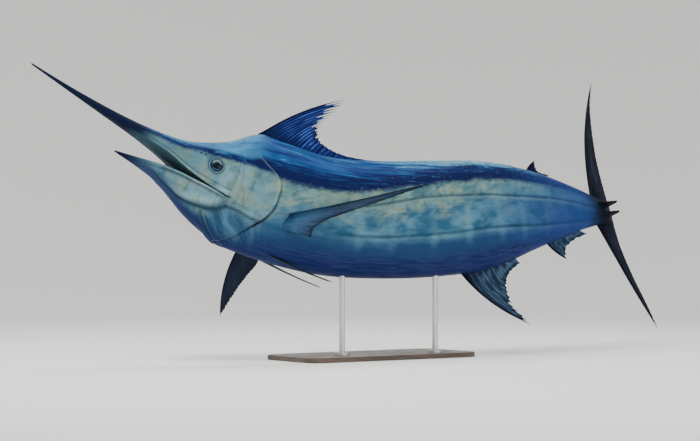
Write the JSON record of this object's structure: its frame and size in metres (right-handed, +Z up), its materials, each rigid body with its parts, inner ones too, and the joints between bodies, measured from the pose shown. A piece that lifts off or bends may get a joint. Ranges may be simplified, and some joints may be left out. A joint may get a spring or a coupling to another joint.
{
  "type": "blue marlin",
  "caption": "Life-size blue marlin with an open mouth, spread fins and an arched body, held by rods on a flat display base.",
  "frame": {"origin": "centre of the stand base's underside", "axes": "+Z up, -X towards the tip of the bill, -Y towards the fish's left flank"},
  "size_m": [3.166, 1.0258, 1.3093],
  "materials": {
    "skin": "wet fish skin, cobalt back over a pale silver-green flank, satin to glossy",
    "fin": "dark blue fin membrane with raised rays, satin",
    "eye": "polished",
    "stand_base": "dark stained, satin",
    "stand_rod": "brushed"
  },
  "bodies": {
    "root": {"bill": "skin", "head": "skin", "lower_jaw": "skin", "eye_left": "eye", "eye_right": "eye", "gill_cover_left": "skin", "gill_cover_right": "skin", "torso_front": "skin", "torso_middle": "skin", "torso_rear": "skin", "tail_stock": "skin", "peduncle": "skin", "first_dorsal_fin": "fin", "second_dorsal_fin": "fin", "first_anal_fin": "fin", "second_anal_fin": "fin", "pectoral_fin_left": "fin", "pectoral_fin_right": "fin", "pelvic_fin_left": "fin", "pelvic_fin_right": "fin", "caudal_upper_lobe": "fin", "caudal_lower_lobe": "fin", "keel_left_upper": "skin", "keel_left_lower": "skin", "keel_right_upper": "skin", "keel_right_lower": "skin", "stand_base": "stand_base", "stand_rod_front": "stand_rod", "stand_rod_rear": "stand_rod"}
  },
  "joints": []
}
